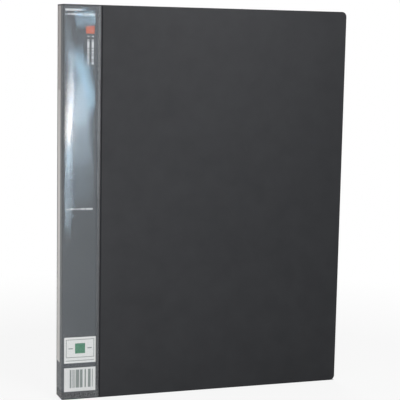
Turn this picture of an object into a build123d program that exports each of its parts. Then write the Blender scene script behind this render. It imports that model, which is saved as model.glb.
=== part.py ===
from build123d import *
import os

# A clear pocket display book, closed and standing upright. Sizes are in millimetres.
# X runs from the spine to the fore-edge, Y from the front cover to the back cover, and Z up.
# The origin is the middle of the whole book's foot.

# Cover: one plastic sheet, creased along both edges of the spine
cover_width = 238.0
cover_height = 310.0
spine_depth = 19.5
sheet_thickness = 0.9
corner_radius = 4.0
hinge_clearance = 0.08

# Pressed line on each cover, just past the title pocket's edge
crease_place = 30.7
crease_width = 1.2
crease_depth = 0.3

# Title pocket: a clear film on the front and the spine, welded at its edges and foot, open at the top
title_film_thickness = 0.15
title_film_reach = 29.8
title_top_margin = 1.0
title_foot_margin = 0.6
title_edge_weld = 2.2
title_foot_weld = 5.2
title_corner_clearance = 0.1

# Title card: slides in the title pocket and is creased at the spine's front corner
card_thickness = 0.25
card_clearance = 0.08
card_end_play = 0.3

# Page pockets: two film sheets each, welded along the binding, the foot and the fore-edge
pocket_count = 30
pocket_film_thickness = 0.06
pocket_gap = 0.12
pocket_fore_edge_margin = 6.0
pocket_end_margin = 3.0
pocket_binding_weld = 10.0
pocket_edge_weld = 2.0
pocket_foot_weld = 2.0

# Binding strip: inside the spine, with a half-round weld bead for each pocket
strip_thickness = 0.5
strip_clearance = 0.1
bead_radius = 0.12
bead_clearance = 0.15

# Places of the cover
card_room = card_thickness + 2 * card_clearance
film_stand = card_room + title_film_thickness
spine_outer_x = -(cover_width - film_stand) / 2
fore_edge_x = spine_outer_x + cover_width
front_outer_y = -(spine_depth - film_stand) / 2
back_outer_y = front_outer_y + spine_depth
middle_y = (front_outer_y + back_outer_y) / 2
hinge_x = spine_outer_x + sheet_thickness / 2
front_hinge_y = front_outer_y + sheet_thickness / 2
back_hinge_y = back_outer_y - sheet_thickness / 2
cover_start_x = hinge_x + sheet_thickness / 2 + hinge_clearance

# Places of the title pocket and its card
title_height = cover_height - title_top_margin - title_foot_margin
film_corner_gap = sheet_thickness / 2 + film_stand + title_corner_clearance
film_front_start_x = hinge_x + film_corner_gap
film_front_end_x = spine_outer_x + title_film_reach
film_spine_start_y = front_hinge_y + film_corner_gap
film_spine_end_y = back_outer_y - sheet_thickness - title_corner_clearance
card_corner_gap = sheet_thickness / 2 + card_clearance + card_thickness + title_corner_clearance
card_front_start_x = hinge_x + card_corner_gap
card_front_end_x = film_front_end_x - title_edge_weld - card_end_play
card_spine_start_y = front_hinge_y + card_corner_gap
card_spine_end_y = film_spine_end_y - title_edge_weld - card_end_play
card_foot_z = title_foot_margin + title_foot_weld + card_end_play
card_height = title_foot_margin + title_height - card_foot_z

# Places of the binding and the pockets
inner_depth = spine_depth - 2 * sheet_thickness
pitch = inner_depth / pocket_count
first_bead_y = front_outer_y + sheet_thickness + pitch / 2
bead_x = spine_outer_x + sheet_thickness + strip_thickness
pocket_start_x = bead_x + bead_radius + bead_clearance
pocket_end_x = fore_edge_x - pocket_fore_edge_margin
pocket_width = pocket_end_x - pocket_start_x
pocket_height = cover_height - 2 * pocket_end_margin
film_spacing = pocket_gap + pocket_film_thickness

os.makedirs("parts", exist_ok=True)


def flat_bar(low_x, low_y, width, depth, foot_z, height):
    """A straight strip of film, weld or card, from its plan and its height."""
    with BuildPart() as bar:
        with BuildSketch(Plane.XY.offset(foot_z)):
            with Locations((low_x, low_y)):
                Rectangle(width, depth, align=(Align.MIN, Align.MIN))
        extrude(amount=height)
    return bar.part


def welded(name, *pieces):
    """One node of film and welds that touch face to face, each kept as a solid of its own."""
    solids = [solid for piece in pieces for solid in piece.solids()]
    return Compound(solids, label=name)


# Front cover: a flat sheet with rounded fore-edge corners and a pressed line on its outer face
crease_radius = (crease_width**2 / 4 + crease_depth**2) / (2 * crease_depth)
with BuildPart() as front_cover:
    with BuildSketch():
        with Locations((cover_start_x, front_outer_y)):
            Rectangle(fore_edge_x - cover_start_x, sheet_thickness, align=(Align.MIN, Align.MIN))
        with Locations((spine_outer_x + crease_place, front_outer_y + crease_depth - crease_radius)):
            Circle(crease_radius, mode=Mode.SUBTRACT)
    extrude(amount=cover_height)
    fillet(front_cover.edges().filter_by(Axis.Y).group_by(Axis.X)[-1], corner_radius)
front_cover.part.label = "front_cover"
export_step(front_cover.part, "parts/front_cover.step")

# Back cover: the front cover's mirror image across the middle of the spine
with BuildPart() as back_cover:
    mirror(front_cover.part, about=Plane.XZ.offset(-middle_y))
back_cover.part.label = "back_cover"
export_step(back_cover.part, "parts/back_cover.step")

# Spine panel: both long edges are fully round, each on the crease that a cover turns about
with BuildPart() as spine_panel:
    with BuildSketch():
        with Locations((hinge_x, middle_y)):
            SlotCenterToCenter(back_hinge_y - front_hinge_y, sheet_thickness, rotation=90)
    extrude(amount=cover_height)
spine_panel.part.label = "spine_panel"
export_step(spine_panel.part, "parts/spine_panel.step")

# Binding strip: a flat strip inside the spine, with a row of weld beads along the pockets
with BuildPart() as binding_strip:
    with BuildSketch(Plane.XY.offset(pocket_end_margin)):
        with Locations((bead_x - strip_thickness / 2, middle_y)):
            Rectangle(strip_thickness, inner_depth - 2 * strip_clearance)
        with Locations((bead_x, middle_y)):
            with GridLocations(pitch, pitch, 1, pocket_count):
                Circle(bead_radius)
    extrude(amount=pocket_height)
binding_strip.part.label = "binding_strip"
export_step(binding_strip.part, "parts/binding_strip.step")

# Title pocket on the front cover
film_front_width = film_front_end_x - film_front_start_x
film_front_y = front_outer_y - film_stand
front_weld_y = front_outer_y - card_room
title_film_front = welded(
    "title_film_front",
    flat_bar(
        film_front_start_x, film_front_y, film_front_width, title_film_thickness,
        title_foot_margin, title_height,
    ),
    flat_bar(
        film_front_end_x - title_edge_weld, front_weld_y, title_edge_weld, card_room,
        title_foot_margin, title_height,
    ),
    flat_bar(
        film_front_start_x, front_weld_y, film_front_width - title_edge_weld, card_room,
        title_foot_margin, title_foot_weld,
    ),
)
export_step(title_film_front, "parts/title_film_front.step")

# Title pocket on the spine
film_spine_width = film_spine_end_y - film_spine_start_y
film_spine_x = spine_outer_x - film_stand
spine_weld_x = spine_outer_x - card_room
title_film_spine = welded(
    "title_film_spine",
    flat_bar(
        film_spine_x, film_spine_start_y, title_film_thickness, film_spine_width,
        title_foot_margin, title_height,
    ),
    flat_bar(
        spine_weld_x, film_spine_end_y - title_edge_weld, card_room, title_edge_weld,
        title_foot_margin, title_height,
    ),
    flat_bar(
        spine_weld_x, film_spine_start_y, card_room, film_spine_width - title_edge_weld,
        title_foot_margin, title_foot_weld,
    ),
)
export_step(title_film_spine, "parts/title_film_spine.step")

# Title card, the leaf on the front cover
with BuildPart() as title_insert_front:
    with BuildSketch(Plane.XY.offset(card_foot_z)):
        with Locations((card_front_start_x, front_outer_y - card_clearance)):
            Rectangle(card_front_end_x - card_front_start_x, card_thickness, align=(Align.MIN, Align.MAX))
    extrude(amount=card_height)
title_insert_front.part.label = "title_insert_front"
export_step(title_insert_front.part, "parts/title_insert_front.step")

# Title card, the leaf on the spine
with BuildPart() as title_insert_spine:
    with BuildSketch(Plane.XY.offset(card_foot_z)):
        with Locations((spine_outer_x - card_clearance, card_spine_start_y)):
            Rectangle(card_thickness, card_spine_end_y - card_spine_start_y, align=(Align.MAX, Align.MIN))
    extrude(amount=card_height)
title_insert_spine.part.label = "title_insert_spine"
export_step(title_insert_spine.part, "parts/title_insert_spine.step")


def page_pocket(name, bead_y):
    """One clear pocket, hung from the weld bead at bead_y: two film sheets and three welds between them."""
    front_film_y = bead_y - pocket_gap / 2 - pocket_film_thickness
    weld_y = bead_y - pocket_gap / 2
    films = [
        flat_bar(
            pocket_start_x, front_film_y + side * film_spacing, pocket_width, pocket_film_thickness,
            pocket_end_margin, pocket_height,
        )
        for side in range(2)
    ]
    binding_weld = flat_bar(
        pocket_start_x, weld_y, pocket_binding_weld, pocket_gap,
        pocket_end_margin, pocket_height,
    )
    edge_weld = flat_bar(
        pocket_end_x - pocket_edge_weld, weld_y, pocket_edge_weld, pocket_gap,
        pocket_end_margin, pocket_height,
    )
    foot_weld = flat_bar(
        pocket_start_x + pocket_binding_weld, weld_y,
        pocket_width - pocket_binding_weld - pocket_edge_weld, pocket_gap,
        pocket_end_margin, pocket_foot_weld,
    )
    return welded(name, *films, binding_weld, edge_weld, foot_weld)


# Page pockets, numbered from the front cover to the back
for number in range(1, pocket_count + 1):
    pocket_name = f"pocket_{number:02d}"
    pocket = page_pocket(pocket_name, first_bead_y + (number - 1) * pitch)
    export_step(pocket, f"parts/{pocket_name}.step")
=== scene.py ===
import bmesh
import bpy
import math
from mathutils import Matrix, Vector, noise


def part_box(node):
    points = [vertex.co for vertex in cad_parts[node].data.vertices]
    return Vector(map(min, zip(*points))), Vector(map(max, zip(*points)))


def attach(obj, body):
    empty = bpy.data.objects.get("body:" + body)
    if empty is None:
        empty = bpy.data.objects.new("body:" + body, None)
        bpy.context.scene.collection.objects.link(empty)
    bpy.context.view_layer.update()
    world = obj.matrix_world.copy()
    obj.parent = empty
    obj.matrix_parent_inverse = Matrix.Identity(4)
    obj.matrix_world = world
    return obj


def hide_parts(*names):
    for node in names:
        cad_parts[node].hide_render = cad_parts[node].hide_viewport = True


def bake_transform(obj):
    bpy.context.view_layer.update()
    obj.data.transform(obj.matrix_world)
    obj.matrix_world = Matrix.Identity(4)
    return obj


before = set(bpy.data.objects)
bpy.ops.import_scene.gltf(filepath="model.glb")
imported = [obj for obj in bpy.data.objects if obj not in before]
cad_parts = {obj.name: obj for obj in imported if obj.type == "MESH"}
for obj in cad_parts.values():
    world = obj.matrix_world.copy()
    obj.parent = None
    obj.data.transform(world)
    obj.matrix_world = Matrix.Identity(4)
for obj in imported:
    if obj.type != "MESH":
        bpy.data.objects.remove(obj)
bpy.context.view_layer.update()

# A clear pocket display book, closed and standing upright. Everything is in metres.
MM = 0.001

# Places of the solids that the pieces follow
front_low, front_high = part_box("front_cover")
back_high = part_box("back_cover")[1]
spine_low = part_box("spine_panel")[0]
film_low, film_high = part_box("title_film_front")
film_spine_low, film_spine_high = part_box("title_film_spine")
card_low, card_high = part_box("title_insert_front")
card_spine_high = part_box("title_insert_spine")[1]
pocket_low, pocket_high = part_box("pocket_01")

spine_x = spine_low.x
fore_edge_x = front_high.x
front_y = front_low.y
back_y = back_high.y
middle_y = (front_y + back_y) / 2
book_height = front_high.z
sheet_thickness = front_high.y - front_low.y

# Cover sheet
bend_radius = 1.0 * MM
bend_columns = 24
corner_radius = 4.0 * MM
corner_steps = 8
rim_radius = 0.16 * MM
rim_steps = 3
crease_place = 30.7 * MM
crease_width = 1.2 * MM
crease_depth = 0.3 * MM
crease_columns = 8

# Title film: its outer face rises from the welds towards the middle of each side
film_thickness = 0.1 * MM
film_weld_height = 0.14 * MM
film_lift = 0.21 * MM
film_crown = 0.13 * MM
film_weld_width = 2.2 * MM
film_weld_fringe = 1.1 * MM
film_weld_margin = 0.5 * MM
film_foot_weld = 5.2 * MM
film_slope = 1.6 * MM
film_ridge_place = 0.6 * MM
film_ridge_width = 0.3 * MM
film_ridge_height = 0.03 * MM
film_rib_pitch = 0.9 * MM
film_rib_height = 0.05 * MM
film_columns = 64
film_rows = 110
film_weld_columns = 12
film_weld_rows = 26

# Waves in the title film: broad ones, and fine ones that slant
film_wave = 0.03 * MM
broad_waves_along = 70
broad_waves_up = 28
broad_wave_seed = 3.0
fine_waves_along = 150
fine_waves_slant = 40
fine_waves_up = 60
fine_wave_seed = 8.0
fine_wave_share = 0.5

# Title card
card_thickness = 0.2 * MM
card_height_over_cover = 0.23 * MM

# Page pockets
pocket_count = 30
pocket_film = 0.05 * MM
pocket_open_half = 0.12 * MM
pocket_weld_half = 0.06 * MM
pocket_binding_weld = 10.0 * MM
pocket_edge_weld = 2.0 * MM
pocket_foot_weld = 2.0 * MM
pocket_rim = 0.02 * MM
pocket_slope = 12.0 * MM
pocket_mouth_depth = 6.0 * MM
pocket_columns = 22
pocket_rows = 18
pocket_bend_reach = 42.0 * MM

# Drift of each pocket's films to the front or the back
pocket_drift = 0.07 * MM
drifts_along = 9
drifts_up = 8
drift_seed_step = 1.7

# Limits for cutting, rounding and smoothing the pieces
cut_tolerance = 0.001 * MM
sharp_rim = math.radians(50)
smooth_angle = math.radians(35)
facing_up = 0.9


def smooth_step(value):
    """0 below 0, 1 above 1, and a smooth rise between."""
    held = min(max(value, 0.0), 1.0)
    return held * held * (3 - 2 * held)


# Unfolded places along a sheet that goes round the spine's front corner.
# They are 0 in the middle of the bend, rise along the front and fall along the spine.
bend_half = bend_radius * math.pi / 4


def along_front(x):
    return x - spine_x - bend_radius + bend_half


def along_spine(y):
    return front_y + bend_radius - y - bend_half


crease = along_front(spine_x + crease_place)
film_end = along_front(film_high.x)
film_back_end = along_spine(film_spine_high.y)
film_foot = film_low.z
film_top = film_high.z
card_end = along_front(card_high.x)
card_back_end = along_spine(card_spine_high.y)
card_foot = card_low.z
card_top = card_high.z


def upright_sheet(bm, low_s, high_s, low_z, high_z, columns, rows):
    """A flat sheet that stands on its edge along X, with its outside towards -Y."""
    made = bmesh.ops.create_grid(bm, x_segments=columns, y_segments=rows, size=0.5)
    middle = Vector(((low_s + high_s) / 2, 0, (low_z + high_z) / 2))
    stretch = Matrix.Diagonal((high_s - low_s, high_z - low_z, 1, 1))
    stood_up = Matrix.Rotation(math.radians(90), 4, "X")
    bmesh.ops.transform(bm, matrix=Matrix.Translation(middle) @ stood_up @ stretch, verts=made["verts"])


def cut_at(bm, place, across):
    """Cuts a flat sheet through a place, square to a direction."""
    geometry = bm.verts[:] + bm.edges[:] + bm.faces[:]
    bmesh.ops.bisect_plane(bm, geom=geometry, dist=cut_tolerance, plane_co=place, plane_no=across)


def cut_columns(bm, low_s, high_s, count):
    """Cuts a flat sheet at even steps between two places along it."""
    for step in range(count + 1):
        cut_at(bm, (low_s + (high_s - low_s) * step / count, 0, 0), (1, 0, 0))


def cut_rows(bm, low_z, high_z, count):
    """Cuts a flat sheet at even steps between two heights."""
    for step in range(count + 1):
        cut_at(bm, (0, 0, low_z + (high_z - low_z) * step / count), (0, 0, 1))


def keep_flat_places(bm):
    """Stores each point's place on the flat sheet, for patterns that follow the sheet when it bends."""
    layer = bm.loops.layers.uv.new("flat")
    for face in bm.faces:
        for loop in face.loops:
            loop[layer].uv = (loop.vert.co.x, loop.vert.co.z)


def fold_round_spine(bm):
    """Bends a flat sheet by a quarter turn round the spine's front corner."""
    for vert in bm.verts:
        height = -vert.co.y
        on_bend = min(max(vert.co.x, -bend_half), bend_half)
        past_bend = vert.co.x - on_bend
        angle = math.pi * (on_bend / bend_half - 3) / 4
        outward = Vector((math.cos(angle), math.sin(angle), 0))
        onward = Vector((-math.sin(angle), math.cos(angle), 0))
        centre = Vector((spine_x + bend_radius, front_y + bend_radius, vert.co.z))
        vert.co = centre + outward * (bend_radius + height) + onward * past_bend


def to_back(bm):
    """Mirrors a piece from the front cover's side to the back cover's."""
    across = Matrix.Translation((0, 2 * middle_y, 0)) @ Matrix.Diagonal((1, -1, 1, 1))
    bmesh.ops.transform(bm, matrix=across, verts=bm.verts[:])
    bmesh.ops.reverse_faces(bm, faces=bm.faces[:])


def round_rims(bm):
    """Rounds the sharp edges of a solid sheet."""
    rims = [edge for edge in bm.edges if len(edge.link_faces) == 2 and edge.calc_face_angle() > sharp_rim]
    bmesh.ops.bevel(
        bm, geom=rims, offset=rim_radius, offset_type="OFFSET", segments=rim_steps, profile=0.5,
        affect="EDGES", material=-1, clamp_overlap=True,
    )


def trim(bm, place, keep_beyond):
    """Cuts a solid sheet off square at a place along it, and closes the cut."""
    geometry = bm.verts[:] + bm.edges[:] + bm.faces[:]
    bmesh.ops.bisect_plane(
        bm, geom=geometry, dist=cut_tolerance, plane_co=(place, 0, 0), plane_no=(1, 0, 0),
        clear_inner=keep_beyond, clear_outer=not keep_beyond,
    )
    bmesh.ops.holes_fill(bm, edges=[edge for edge in bm.edges if edge.is_boundary], sides=0)


def finished(name, bm, material):
    """Makes the object of a piece, at the origin, with its place in its mesh."""
    mesh = bpy.data.meshes.new(name)
    bm.to_mesh(mesh)
    bm.free()
    mesh.shade_smooth()
    mesh.set_sharp_from_angle(angle=smooth_angle)
    mesh.materials.append(material)
    piece = bpy.data.objects.new(name, mesh)
    bpy.context.scene.collection.objects.link(piece)
    return piece


# Node helpers for the materials
mix_share = 0
mix_under = 6
mix_over = 7
mix_result = 2
opaque = 1
white = (1, 1, 1, opaque)
speckle_low = 0.3
speckle_high = 0.7


def new_finish(name):
    material = bpy.data.materials.new(name)
    material.use_nodes = True
    material.node_tree.nodes.clear()
    return material, material.node_tree


def add_node(tree, kind, settings=None, values=None):
    """A node with its settings, and its input sockets set to numbers or joined to other sockets."""
    node = tree.nodes.new(kind)
    for key, value in (settings or {}).items():
        setattr(node, key, value)
    for key, value in (values or {}).items():
        if isinstance(value, bpy.types.NodeSocket):
            tree.links.new(value, node.inputs[key])
        else:
            node.inputs[key].default_value = value
    return node


def sums(tree, operation, first, second):
    """One step of arithmetic on sockets or numbers."""
    return add_node(tree, "ShaderNodeMath", {"operation": operation}, {0: first, 1: second}).outputs[0]


def most_of(tree, *masks):
    """The highest of some masks at each place."""
    highest = masks[0]
    for mask in masks[1:]:
        highest = sums(tree, "MAXIMUM", highest, mask)
    return highest


def spread(tree, value, low, high, to_low, to_high):
    """A value moved from one range to another and held there."""
    values = {"Value": value, "From Min": low, "From Max": high, "To Min": to_low, "To Max": to_high}
    return add_node(tree, "ShaderNodeMapRange", {"clamp": True}, values).outputs["Result"]


def between(tree, value, low, high):
    """1 where a value lies between two limits, and 0 elsewhere."""
    above = sums(tree, "GREATER_THAN", value, low)
    below = sums(tree, "LESS_THAN", value, high)
    return sums(tree, "MULTIPLY", above, below)


def paint(tree, mask, under, over):
    """One colour laid over another where the mask is 1."""
    node = add_node(tree, "ShaderNodeMix", {"data_type": "RGBA"}, {mix_share: mask})
    for index, colour in ((mix_under, under), (mix_over, over)):
        if isinstance(colour, bpy.types.NodeSocket):
            tree.links.new(colour, node.inputs[index])
        else:
            node.inputs[index].default_value = (*colour, opaque)
    return node.outputs[mix_result]


def speckle(tree, place, scale, detail):
    values = {"Vector": place, "Scale": scale, "Detail": detail}
    return add_node(tree, "ShaderNodeTexNoise", None, values).outputs["Fac"]


def from_speckle(tree, speckles, to_low, to_high):
    """A value between two limits that follows a speckle."""
    return spread(tree, speckles, speckle_low, speckle_high, to_low, to_high)


def surface_bump(tree, height, distance, strength):
    values = {"Height": height, "Distance": distance, "Strength": strength}
    return add_node(tree, "ShaderNodeBump", None, values).outputs["Normal"]


def blended(tree, share, first, second):
    """Two shaders mixed by the share of the second."""
    return add_node(tree, "ShaderNodeMixShader", None, {0: share, 1: first, 2: second}).outputs[0]


def show(tree, shader):
    add_node(tree, "ShaderNodeOutputMaterial", None, {"Surface": shader})


def object_place(tree):
    return add_node(tree, "ShaderNodeTexCoord").outputs["Object"]


def flat_place(tree):
    """The place on the sheet, and its parts along the sheet and up it, in metres, as stored on the piece."""
    flat = add_node(tree, "ShaderNodeUVMap", {"uv_map": "flat"}).outputs["UV"]
    parts = add_node(tree, "ShaderNodeSeparateXYZ", None, {0: flat})
    return flat, parts.outputs["X"], parts.outputs["Y"]


# Matt plastic of the cover and the binding strip
sheet_cloud_scale = 70.0
sheet_cloud_detail = 4.0
sheet_grain_detail = 2.0
sheet_grain_depth = 0.05 * MM
# Painted shade: colour that darkens the cover along its pressed line, standing in for the shade in the crease
pressed_line_painted_shade = (0.016, 0.016, 0.018)
pressed_line_smoothing = 0.15
pressed_line_core = 0.2 * crease_width
pressed_line_reach = 0.5 * crease_width


def sheet_plastic(name, dark, light, grain_scale, grain_strength, roughness, gloss, shade_and_smoothing_mask=None):
    """Matt plastic sheet with a fine sanded grain and faint cloudiness.

    Where it has a pressed line, its colour is painted darker there as shade in the crease, and its finish is
    smoother.
    """
    material, tree = new_finish(name)
    place = object_place(tree)
    cloud = speckle(tree, place, sheet_cloud_scale, sheet_cloud_detail)
    grain = speckle(tree, place, grain_scale, sheet_grain_detail)
    colour = paint(tree, from_speckle(tree, cloud, 0.0, 1.0), dark, light)
    rough = from_speckle(tree, grain, *roughness)
    if shade_and_smoothing_mask:
        crease_shade_and_smoothing = shade_and_smoothing_mask(tree)
        # Painted shade: the colour is darkened along the pressed line
        colour = paint(tree, crease_shade_and_smoothing, colour, pressed_line_painted_shade)
        rough = sums(tree, "SUBTRACT", rough, sums(tree, "MULTIPLY", crease_shade_and_smoothing, pressed_line_smoothing))
    values = {
        "Base Color": colour,
        "Roughness": rough,
        "Specular IOR Level": gloss,
        "Normal": surface_bump(tree, grain, sheet_grain_depth, grain_strength),
    }
    show(tree, add_node(tree, "ShaderNodeBsdfPrincipled", None, values).outputs[0])
    return material


def crease_shade_and_smoothing_mask(tree):
    """1 along the middle of a cover's pressed line, and less towards its sides: where the colour is painted
    darker as shade and the finish is smoother.
    """
    _, along, _ = flat_place(tree)
    off_middle = sums(tree, "ABSOLUTE", sums(tree, "SUBTRACT", along, crease), 0.0)
    return spread(tree, off_middle, pressed_line_core, pressed_line_reach, 1.0, 0.0)


cover_finish = sheet_plastic(
    "charcoal_cover_sheet",
    dark=(0.0352, 0.0355, 0.0376),
    light=(0.0402, 0.0405, 0.0428),
    grain_scale=1400.0,
    grain_strength=0.12,
    roughness=(0.46, 0.6),
    gloss=0.05,
    shade_and_smoothing_mask=crease_shade_and_smoothing_mask,
)
strip_finish = sheet_plastic(
    "black_binding_strip",
    dark=(0.022, 0.022, 0.024),
    light=(0.03, 0.03, 0.032),
    grain_scale=700.0,
    grain_strength=0.2,
    roughness=(0.4, 0.55),
    gloss=0.2,
)

# Clear film of the title pocket and the page pockets
haze_cloud_scale = 25.0
haze_cloud_detail = 1.0
haze_least = 0.7
haze_most = 1.3
facing_blend = 0.5
steep_power = 5.0
ripple_detail = 1.0
ripple_depth = 1.0 * MM
film_weld_share = 0.45
pocket_weld_share = 0.15


def clear_film(name, weld_mask, haze_colour, haze, roughness, facing_gloss, edge_gloss, ripples=None):
    """Clear glossy film, with haze and roughness given for the open film and for its welds, which on the
    title film take in a painted highlight beside the front weld.
    """
    material, tree = new_finish(name)
    flat, along, up = flat_place(tree)
    welds = weld_mask(tree, along, up)
    cloud = speckle(tree, flat, haze_cloud_scale, haze_cloud_detail)
    unevenness = from_speckle(tree, cloud, haze_least, haze_most)
    haze_share = sums(tree, "MULTIPLY", spread(tree, welds, 0.0, 1.0, *haze), unevenness)
    facing = add_node(tree, "ShaderNodeLayerWeight", None, {"Blend": facing_blend}).outputs["Facing"]
    steep = sums(tree, "POWER", facing, steep_power)
    shine = sums(tree, "ADD", sums(tree, "MULTIPLY", steep, edge_gloss), facing_gloss)
    clear = add_node(tree, "ShaderNodeBsdfTransparent").outputs[0]
    milky = add_node(tree, "ShaderNodeBsdfDiffuse", None, {"Color": (*haze_colour, opaque)}).outputs[0]
    gloss_values = {"Color": white, "Roughness": spread(tree, welds, 0.0, 1.0, *roughness)}
    if ripples:
        scale, strength = ripples
        ripple_height = speckle(tree, flat, scale, ripple_detail)
        gloss_values["Normal"] = surface_bump(tree, ripple_height, ripple_depth, strength)
    gloss = add_node(tree, "ShaderNodeBsdfAnisotropic", None, gloss_values).outputs[0]
    show(tree, blended(tree, shine, blended(tree, haze_share, clear, milky), gloss))
    return material


def title_film_welds_and_painted_highlight(tree, along, up):
    """A part on the welds at both long edges and at the foot, and 1 on the fringe beside the front one, where
    whiter haze paints in the light that the film's slope there catches.
    """
    front_weld_start = film_end - film_weld_width
    # Painted highlight: full haze on the fringe beside the front weld lightens the film where its slope
    # catches light
    front_fringe_painted_highlight = between(tree, along, front_weld_start - film_weld_fringe, front_weld_start)
    front_weld = between(tree, along, front_weld_start, film_end - film_weld_margin)
    back_weld = sums(tree, "LESS_THAN", along, film_back_end + film_weld_width + film_weld_fringe)
    foot_weld = sums(tree, "LESS_THAN", up, film_foot + film_foot_weld + film_weld_fringe)
    welds = most_of(tree, front_weld, back_weld, foot_weld)
    return most_of(tree, sums(tree, "MULTIPLY", welds, film_weld_share), front_fringe_painted_highlight)


def pocket_welds(tree, along, up):
    """A part where the two films of a pocket are welded together, and 1 on the films' cut edges."""
    binding = sums(tree, "LESS_THAN", along, pocket_low.x + pocket_binding_weld)
    edge = sums(tree, "GREATER_THAN", along, pocket_high.x - pocket_edge_weld)
    foot = sums(tree, "LESS_THAN", up, pocket_low.z + pocket_foot_weld)
    welds = most_of(tree, binding, edge, foot)
    fore_rim = sums(tree, "GREATER_THAN", along, pocket_high.x - pocket_rim)
    top_rim = sums(tree, "GREATER_THAN", up, pocket_high.z - pocket_rim)
    foot_rim = sums(tree, "LESS_THAN", up, pocket_low.z + pocket_rim)
    rims = most_of(tree, fore_rim, top_rim, foot_rim)
    return most_of(tree, sums(tree, "MULTIPLY", welds, pocket_weld_share), rims)


title_film_finish = clear_film(
    "clear_title_film",
    title_film_welds_and_painted_highlight,
    haze_colour=(0.8, 0.82, 0.84),
    haze=(0.012, 0.075),
    roughness=(0.078, 0.75),
    facing_gloss=0.022,
    edge_gloss=0.1,
    ripples=(60.0, 0.1),
)
pocket_finish = clear_film(
    "clear_pocket_film",
    pocket_welds,
    haze_colour=(0.82, 0.84, 0.86),
    haze=(0.03, 0.75),
    roughness=(0.14, 0.3),
    facing_gloss=0.022,
    edge_gloss=0.3,
)

# Printed card: its colours and its paper
print_grey = (0.047, 0.054, 0.061)
print_grey_light = (0.055, 0.062, 0.07)
label_white = (0.66, 0.66, 0.65)
label_green = (0.05, 0.19, 0.11)
label_line = (0.2, 0.23, 0.22)
mark_orange = (0.4, 0.095, 0.05)
mark_pale = (0.46, 0.47, 0.48)
spine_pale = (0.62, 0.6, 0.58)
spine_beige = (0.46, 0.42, 0.4)
card_cloud_scale = 30.0
card_cloud_detail = 3.0
card_cloud_low = 0.35
card_cloud_high = 0.65
card_fibre_scale = 1500.0
card_fibre_detail = 2.0
card_fibre_depth = 0.02 * MM
card_fibre_strength = 0.15
card_roughness = (0.5, 0.65)
card_gloss = 0.2

# Printed card: the pale panel on its spine leaf, and its broken rules and bars
panel_start = along_spine(front_y + 7.2 * MM)
panel_foot = 29.0 * MM
panel_change = 244.5 * MM
upright_rule_width = 1.8
drawn_share = 0.7
bar_share = 0.5


def on_card(distance_from_corner):
    """A place along the card's front leaf, from a distance measured from the book's spine corner."""
    return along_front(film_spine_low.x + distance_from_corner)


def dashes(tree, value, step, share):
    """A broken rule: 1 on some of the even steps along it."""
    step_number = sums(tree, "FLOOR", sums(tree, "DIVIDE", value, step), 0.0)
    draw = add_node(tree, "ShaderNodeTexWhiteNoise", {"noise_dimensions": "1D"}, {"W": step_number})
    return sums(tree, "LESS_THAN", draw.outputs["Value"], share)


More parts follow.
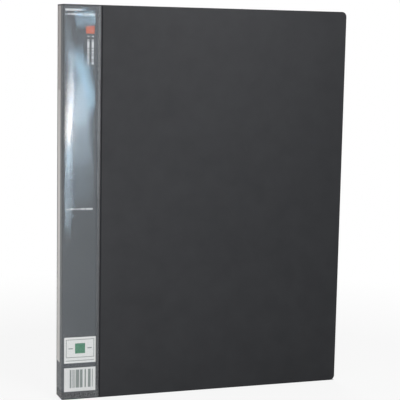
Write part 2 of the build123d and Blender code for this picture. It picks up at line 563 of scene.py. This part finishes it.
def card_print(name):
    """Grey printed card with plain marks: rules, an orange square, two white labels and a row of bars."""
    material, tree = new_finish(name)
    flat, along, up = flat_place(tree)

    def patch(left, right, low, high):
        """1 inside a rectangle on the front leaf, in millimetres from the spine corner and the foot."""
        across = between(tree, along, on_card(left * MM), on_card(right * MM))
        return sums(tree, "MULTIPLY", across, between(tree, up, low * MM, high * MM))

    def broken(mask, value, step, share):
        """A rule broken into even steps, in millimetres, of which a share is drawn."""
        return sums(tree, "MULTIPLY", mask, dashes(tree, value, step * MM, share))

    cloud = speckle(tree, flat, card_cloud_scale, card_cloud_detail)
    fibre = speckle(tree, flat, card_fibre_scale, card_fibre_detail)
    cloudiness = spread(tree, cloud, card_cloud_low, card_cloud_high, 0.0, 1.0)
    colour = paint(tree, cloudiness, print_grey, print_grey_light)

    # Pale panel on the spine leaf, beige in its upper part
    on_panel = sums(tree, "LESS_THAN", along, panel_start)
    pale_part = sums(tree, "MULTIPLY", on_panel, between(tree, up, panel_foot, panel_change))
    beige_part = sums(tree, "MULTIPLY", on_panel, sums(tree, "GREATER_THAN", up, panel_change))
    colour = paint(tree, pale_part, colour, spine_pale)
    colour = paint(tree, beige_part, colour, spine_beige)

    # Two pale rules at the top, the lower one broken
    colour = paint(tree, patch(left=2.0, right=15.0, low=305.0, high=306.6), colour, mark_pale)
    rule = patch(left=2.0, right=26.0, low=301.8, high=303.2)
    colour = paint(tree, broken(rule, along, step=0.8, share=drawn_share), colour, mark_pale)

    # Orange square with two broken upright rules under it
    colour = paint(tree, patch(left=18.4, right=25.0, low=288.1, high=293.9), colour, mark_orange)
    for left in (19.3, 22.8):
        rule = patch(left=left, right=left + upright_rule_width, low=264.5, high=286.8)
        colour = paint(tree, broken(rule, up, step=0.7, share=drawn_share), colour, mark_pale)

    # Broken rule half way up
    rule = patch(left=2.4, right=24.6, low=151.8, high=153.2)
    colour = paint(tree, broken(rule, along, step=0.7, share=drawn_share), colour, mark_pale)

    # White label with a thin frame, a green square between two short rules, and a line under the frame
    colour = paint(tree, patch(left=2.2, right=27.8, low=29.5, high=50.4), colour, label_white)
    colour = paint(tree, patch(left=3.6, right=26.6, low=33.9, high=48.7), colour, label_line)
    colour = paint(tree, patch(left=4.1, right=26.1, low=34.4, high=48.2), colour, label_white)
    colour = paint(tree, patch(left=11.0, right=19.2, low=37.2, high=45.4), colour, label_green)
    for left, right in ((5.6, 9.2), (21.0, 24.6)):
        colour = paint(tree, patch(left=left, right=right, low=40.9, high=41.7), colour, label_line)
    colour = paint(tree, patch(left=3.6, right=26.6, low=31.2, high=31.7), colour, label_line)

    # White label with a row of bars
    colour = paint(tree, patch(left=2.2, right=27.8, low=6.4, high=25.7), colour, label_white)
    bars = patch(left=6.2, right=26.0, low=9.4, high=24.1)
    colour = paint(tree, broken(bars, along, step=0.55, share=bar_share), colour, label_line)

    values = {
        "Base Color": colour,
        "Roughness": from_speckle(tree, fibre, *card_roughness),
        "Specular IOR Level": card_gloss,
        "Normal": surface_bump(tree, fibre, card_fibre_depth, card_fibre_strength),
    }
    show(tree, add_node(tree, "ShaderNodeBsdfPrincipled", None, values).outputs[0])
    return material


card_finish = card_print("grey_title_card")

# Covers: a sheet with rounded fore-edge corners, a pressed line, and the bend to the spine
hinge_reach = 2 * bend_radius
seam_reach = hinge_reach + sheet_thickness
seam_waste = 2.0 * MM
cover_start = along_spine(front_y + seam_reach)
cover_end = along_front(fore_edge_x)


def press_crease(bm):
    """Presses the line into the sheet's outer face."""
    for vert in bm.verts:
        off_middle = abs(vert.co.x - crease) / (crease_width / 2)
        if vert.co.y < sheet_thickness / 2 and off_middle < 1:
            vert.co.y += crease_depth * (1 + math.cos(math.pi * off_middle)) / 2


def cover_sheet(name, on_back):
    """A cover with its bend and the start of the spine, on the front's side or the back's."""
    bm = bmesh.new()
    upright_sheet(bm, cover_start - seam_waste, cover_end, 0, book_height, 1, 1)
    corners = [vert for vert in bm.verts if vert.co.x > crease]
    bmesh.ops.bevel(
        bm, geom=corners, offset=corner_radius, offset_type="OFFSET", segments=corner_steps, profile=0.5,
        affect="VERTICES", material=-1,
    )
    cut_columns(bm, cover_start, -cover_start, bend_columns)
    cut_columns(bm, crease - crease_width / 2, crease + crease_width / 2, crease_columns)
    bmesh.ops.solidify(bm, geom=bm.faces[:], thickness=sheet_thickness)
    round_rims(bm)
    press_crease(bm)
    trim(bm, cover_start, True)
    keep_flat_places(bm)
    fold_round_spine(bm)
    if on_back:
        to_back(bm)
    return finished(name, bm, cover_finish)


front_cover = cover_sheet("front_cover_sheet", False)
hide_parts("front_cover")
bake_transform(front_cover)

back_cover = cover_sheet("back_cover_sheet", True)
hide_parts("back_cover")
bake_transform(back_cover)


# Spine: the flat part of the sheet between the two bends
def spine_sheet():
    bm = bmesh.new()
    low_y = front_y + seam_reach
    high_y = back_y - seam_reach
    upright_sheet(bm, low_y - seam_waste, high_y + seam_waste, 0, book_height, 1, 1)
    bmesh.ops.solidify(bm, geom=bm.faces[:], thickness=sheet_thickness)
    round_rims(bm)
    trim(bm, low_y, True)
    trim(bm, high_y, False)
    turned = Matrix.Translation((spine_x, 0, 0)) @ Matrix.Rotation(math.radians(-90), 4, "Z")
    bmesh.ops.transform(bm, matrix=turned @ Matrix.Diagonal((-1, 1, 1, 1)), verts=bm.verts[:])
    bmesh.ops.reverse_faces(bm, faces=bm.faces[:])
    return finished("spine_sheet", bm, cover_finish)


spine = spine_sheet()
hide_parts("spine_panel")
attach(spine, "spine")

# Title film: one clear sheet round the corner, welded at both long edges and at the foot
front_span = film_end - film_weld_width - bend_half
spine_span = -bend_half - film_back_end - film_weld_width


def film_height(s, z):
    """How far the film's outer face stands off the cover at a place along it and a height."""
    from_edge = film_end - s
    from_back = s - film_back_end
    from_foot = z - film_foot
    risen = smooth_step((from_edge - film_weld_width) / film_slope)
    risen *= smooth_step((from_back - film_weld_width) / film_slope)
    risen *= smooth_step((from_foot - film_foot_weld) / film_slope)
    share = (s - bend_half) / front_span if s > 0 else (-bend_half - s) / spine_span
    held = min(max(share, 0.0), 1.0)
    crown = 4 * held * (1 - held)
    broad_place = Vector((s * broad_waves_along, z * broad_waves_up, broad_wave_seed))
    fine_place = Vector((s * fine_waves_along + z * fine_waves_slant, z * fine_waves_up, fine_wave_seed))
    wave = noise.noise(broad_place) + fine_wave_share * noise.noise(fine_place)
    height = film_weld_height + risen * (film_lift + film_crown * crown + film_wave * wave * crown)
    ridge = (from_edge - film_ridge_place) / film_ridge_width
    height += film_ridge_height * math.exp(-ridge * ridge)
    if from_foot < film_foot_weld:
        height += film_rib_height * math.sin(math.pi * from_foot / film_rib_pitch) ** 2
    return height


def title_film():
    bm = bmesh.new()
    upright_sheet(bm, film_back_end, film_end, film_foot, film_top, film_columns, film_rows)
    cut_columns(bm, -cover_start, cover_start, bend_columns)
    cut_columns(bm, film_end - film_weld_width, film_end, film_weld_columns)
    cut_rows(bm, film_foot, film_foot + film_foot_weld, film_weld_rows)
    for vert in bm.verts:
        vert.co.y = -film_height(vert.co.x, vert.co.z)
    keep_flat_places(bm)
    bmesh.ops.solidify(bm, geom=bm.faces[:], thickness=film_thickness)
    fold_round_spine(bm)
    return finished("title_film", bm, title_film_finish)


film = title_film()
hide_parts("title_film_front", "title_film_spine")
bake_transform(film)


# Title card: creased at the corner, with the print on its outer face
def title_card():
    bm = bmesh.new()
    upright_sheet(bm, card_back_end, card_end, card_foot, card_top, 1, 1)
    cut_columns(bm, -cover_start, cover_start, bend_columns)
    for vert in bm.verts:
        vert.co.y = -card_height_over_cover
    keep_flat_places(bm)
    bmesh.ops.solidify(bm, geom=bm.faces[:], thickness=card_thickness)
    fold_round_spine(bm)
    return finished("title_card", bm, card_finish)


card = title_card()
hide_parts("title_insert_front", "title_insert_spine")
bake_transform(card)


# Page pockets: two thin films each, welded at three sides, with an open mouth at the top
def open_mouth(bm, top_z):
    """Sinks the room between the two films into the pocket's top edge."""
    bm.normal_update()
    top_faces = [
        face for face in bm.faces
        if face.normal.z > facing_up and face.calc_center_median().z > top_z - pocket_rim
    ]
    bmesh.ops.inset_region(
        bm, faces=top_faces, thickness=pocket_film, use_boundary=True, use_even_offset=True,
    )
    sunk = bmesh.ops.extrude_face_region(bm, geom=top_faces)["geom"]
    bmesh.ops.delete(bm, geom=top_faces, context="FACES")
    sunk_verts = [item for item in sunk if isinstance(item, bmesh.types.BMVert)]
    bmesh.ops.translate(bm, vec=(0, 0, -pocket_mouth_depth), verts=sunk_verts)


def page_pocket(node, number):
    """One pocket, hung from its weld bead, whose films drift less towards the binding."""
    low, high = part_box(node)
    bm = bmesh.new()
    upright_sheet(bm, low.x, high.x, low.z, high.z, pocket_columns, pocket_rows)
    cut_columns(bm, low.x + pocket_binding_weld, low.x + pocket_binding_weld, 1)
    cut_columns(bm, high.x - pocket_edge_weld, high.x - pocket_edge_weld, 1)
    cut_rows(bm, low.z + pocket_foot_weld, low.z + pocket_foot_weld, 1)
    bmesh.ops.solidify(bm, geom=bm.faces[:], thickness=2 * pocket_weld_half)
    for vert in bm.verts:
        opened = smooth_step((vert.co.x - low.x - pocket_binding_weld) / pocket_slope)
        opened *= smooth_step((high.x - pocket_edge_weld - vert.co.x) / pocket_slope)
        opened *= smooth_step((vert.co.z - low.z - pocket_foot_weld) / pocket_slope)
        half = pocket_weld_half + (pocket_open_half - pocket_weld_half) * opened
        vert.co.y = -half if vert.co.y < pocket_weld_half else half
    open_mouth(bm, high.z)
    keep_flat_places(bm)
    bead_y = (low.y + high.y) / 2
    for vert in bm.verts:
        held = smooth_step((vert.co.x - low.x) / pocket_bend_reach)
        drift_place = Vector((vert.co.x * drifts_along, vert.co.z * drifts_up, number * drift_seed_step))
        vert.co.y += bead_y + pocket_drift * noise.noise(drift_place) * held
    piece = finished(node + "_film", bm, pocket_finish)
    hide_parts(node)
    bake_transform(piece)


for number in range(1, pocket_count + 1):
    page_pocket(f"pocket_{number:02d}", number)

# Binding strip: the solid's own shape, in satin black
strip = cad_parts["binding_strip"]
strip.data.materials.clear()
strip.data.materials.append(strip_finish)

# Floor and surroundings
floor_half_size = 4.0
floor_pale = (0.6, 0.6, 0.6, opaque)
floor_near = 0.25
floor_far = 0.55
floor_near_glow = 0.88
white_level = 1.0
soft_light_level = 0.09


def looked_at(tree):
    """1 for what is seen, also in a reflection or through a clear piece, and 0 for what only gives light."""
    path = add_node(tree, "ShaderNodeLightPath").outputs
    return most_of(tree, path["Is Camera Ray"], path["Is Glossy Ray"], path["Is Transmission Ray"])


def floor_finish():
    """Pale floor that reads as white, keeps a faint shadow of the book, and doesn't glow under it."""
    material, tree = new_finish("pale_floor")
    seen = looked_at(tree)
    place = object_place(tree)
    distance = add_node(tree, "ShaderNodeVectorMath", {"operation": "LENGTH"}, {0: place}).outputs["Value"]
    reach = spread(tree, distance, floor_near, floor_far, floor_near_glow, white_level)
    parts = add_node(tree, "ShaderNodeSeparateXYZ", None, {0: place})
    across_book = between(tree, parts.outputs["X"], spine_x, fore_edge_x)
    through_book = between(tree, parts.outputs["Y"], front_y, back_y)
    under_book = sums(tree, "MULTIPLY", across_book, through_book)
    beside_book = sums(tree, "SUBTRACT", 1.0, under_book)
    glow = sums(tree, "MULTIPLY", sums(tree, "MULTIPLY", seen, reach), beside_book)
    pale = add_node(tree, "ShaderNodeBsdfDiffuse", None, {"Color": floor_pale}).outputs[0]
    bright_values = {"Color": white, "Strength": white_level}
    bright = add_node(tree, "ShaderNodeEmission", None, bright_values).outputs[0]
    show(tree, blended(tree, glow, pale, bright))
    return material


floor_bm = bmesh.new()
bmesh.ops.create_grid(floor_bm, x_segments=1, y_segments=1, size=floor_half_size)
floor = finished("floor", floor_bm, floor_finish())

# World: soft light, seen as white
world = bpy.data.worlds.new("studio")
bpy.context.scene.world = world
world.use_nodes = True
world_tree = world.node_tree
world_tree.nodes.clear()
sky_seen = looked_at(world_tree)
soft_values = {"Color": white, "Strength": soft_light_level}
soft_light = add_node(world_tree, "ShaderNodeBackground", None, soft_values).outputs[0]
white_values = {"Color": white, "Strength": white_level}
white_sky = add_node(world_tree, "ShaderNodeBackground", None, white_values).outputs[0]
sky = blended(world_tree, sky_seen, soft_light, white_sky)
add_node(world_tree, "ShaderNodeOutputWorld", None, {"Surface": sky})

# Lamps
book_middle = (0, 0, book_height / 2)
plain_white = (1.0, 1.0, 1.0)
sky_blue = (0.64, 0.84, 1.0)
deep_sky_blue = (0.46, 0.77, 1.0)


def soft_lamp(name, place, across, up, width, height, watts, colour):
    """A soft rectangular lamp that shines along the cross product of its upward and sideways directions."""
    data = bpy.data.lights.new(name, "AREA")
    data.shape = "RECTANGLE"
    data.size = width
    data.size_y = height
    data.energy = watts
    data.color = colour
    lamp = bpy.data.objects.new(name, data)
    bpy.context.scene.collection.objects.link(lamp)
    side = Vector(across).normalized()
    back = side.cross(Vector(up)).normalized()
    turned = Matrix((side, back.cross(side), back)).transposed()
    lamp.matrix_world = Matrix.Translation(place) @ turned.to_4x4()
    lamp.visible_camera = False
    return lamp


def studio_lamp(name, place, size, watts):
    """A soft square lamp that points at the middle of the book, with its sides level."""
    back = Vector(place) - Vector(book_middle)
    side = Vector((0, 0, 1)).cross(back)
    return soft_lamp(name, place, side, back.cross(side), size, size, watts, plain_white)


studio_lamp("top_lamp", place=(0.02, -0.3, 0.475), size=0.2, watts=1.25)
left_lamp = studio_lamp("left_lamp", place=(-0.33, -0.3, 0.14), size=0.24, watts=1.1)
left_lamp.visible_glossy = False
studio_lamp("back_lamp", place=(0.3, 1.2, 0.7), size=0.6, watts=11.0)
studio_lamp("fore_edge_lamp", place=(1.2, 0.25, 0.5), size=0.5, watts=5.0)

# Small lamps that show as soft streaks on the title film
streak_y = -0.8
level = (1, 0, 0)
upright = (0, 0, 1)
leaning = (0.037, 0, 1)
leaning_more = (0.085, 0, 1)
slanting_across = (0.65, 0, -0.76)
slanting_up = (0.76, 0, 0.65)


def film_lamp(name, x, z, width, height, watts, colour, across=level, up=upright):
    """A small lamp on the upright plane in front of the book."""
    soft_lamp(name, (x, streak_y, z), across, up, width, height, watts, colour)


film_lamp(
    "streak_lamp", x=0.0595, z=0.1717, width=0.009, height=0.056, watts=0.125, colour=plain_white, up=leaning,
)
film_lamp(
    "streak_top_lamp", x=0.061, z=0.2215, width=0.006, height=0.026, watts=0.027, colour=plain_white,
)
film_lamp(
    "glow_lamp", x=0.0575, z=0.138, width=0.009, height=0.084, watts=0.064, colour=sky_blue, up=leaning_more,
)
film_lamp(
    "upper_glow_lamp", x=0.0635, z=0.2207, width=0.009, height=0.081, watts=0.069, colour=sky_blue,
)
film_lamp(
    "tail_lamp", x=0.0545, z=0.0567, width=0.01, height=0.08, watts=0.032, colour=sky_blue, up=leaning,
)
film_lamp(
    "slant_lamp", x=0.1135, z=0.2277, width=0.09, height=0.024, watts=0.1, colour=deep_sky_blue,
    across=slanting_across, up=slanting_up,
)
film_lamp(
    "veil_lamp", x=0.1005, z=0.1937, width=0.045, height=0.06, watts=0.1, colour=sky_blue,
)
film_lamp(
    "low_veil_lamp", x=0.0945, z=0.1562, width=0.075, height=0.085, watts=0.105, colour=sky_blue,
)
film_lamp(
    "faint_veil_lamp", x=0.105, z=0.085, width=0.07, height=0.058, watts=0.024, colour=sky_blue,
)
film_lamp(
    "upper_lamp", x=0.117, z=0.316, width=0.062, height=0.005, watts=0.034, colour=deep_sky_blue,
)
film_lamp(
    "edge_lamp", x=0.0465, z=0.286, width=0.007, height=0.056, watts=0.0075, colour=sky_blue,
)
film_lamp(
    "shoulder_lamp", x=0.063, z=0.269, width=0.022, height=0.018, watts=0.007, colour=sky_blue,
)

# Camera at the photograph's viewing angle
camera_place = (-0.3558, -0.98503, 0.28147)
camera_heading = math.radians(-19.7764)
camera_tilt = math.radians(90 - 8.1521)
camera_roll = math.radians(1.1001)
camera_data = bpy.data.cameras.new("camera")
camera_data.sensor_width = 36.0
camera_data.lens = 116.616
camera_data.shift_y = 0.075
camera = bpy.data.objects.new("camera", camera_data)
bpy.context.scene.collection.objects.link(camera)
heading = Matrix.Rotation(camera_heading, 4, "Z")
tilt = Matrix.Rotation(camera_tilt, 4, "X")
roll = Matrix.Rotation(camera_roll, 4, "Z")
camera.matrix_world = Matrix.Translation(camera_place) @ heading @ tilt @ roll
bpy.context.scene.camera = camera

# Colours are shown as they are, and sight passes through every film of all the pockets
bpy.context.scene.view_settings.view_transform = "Standard"
bpy.context.scene.cycles.transparent_max_bounces = 160
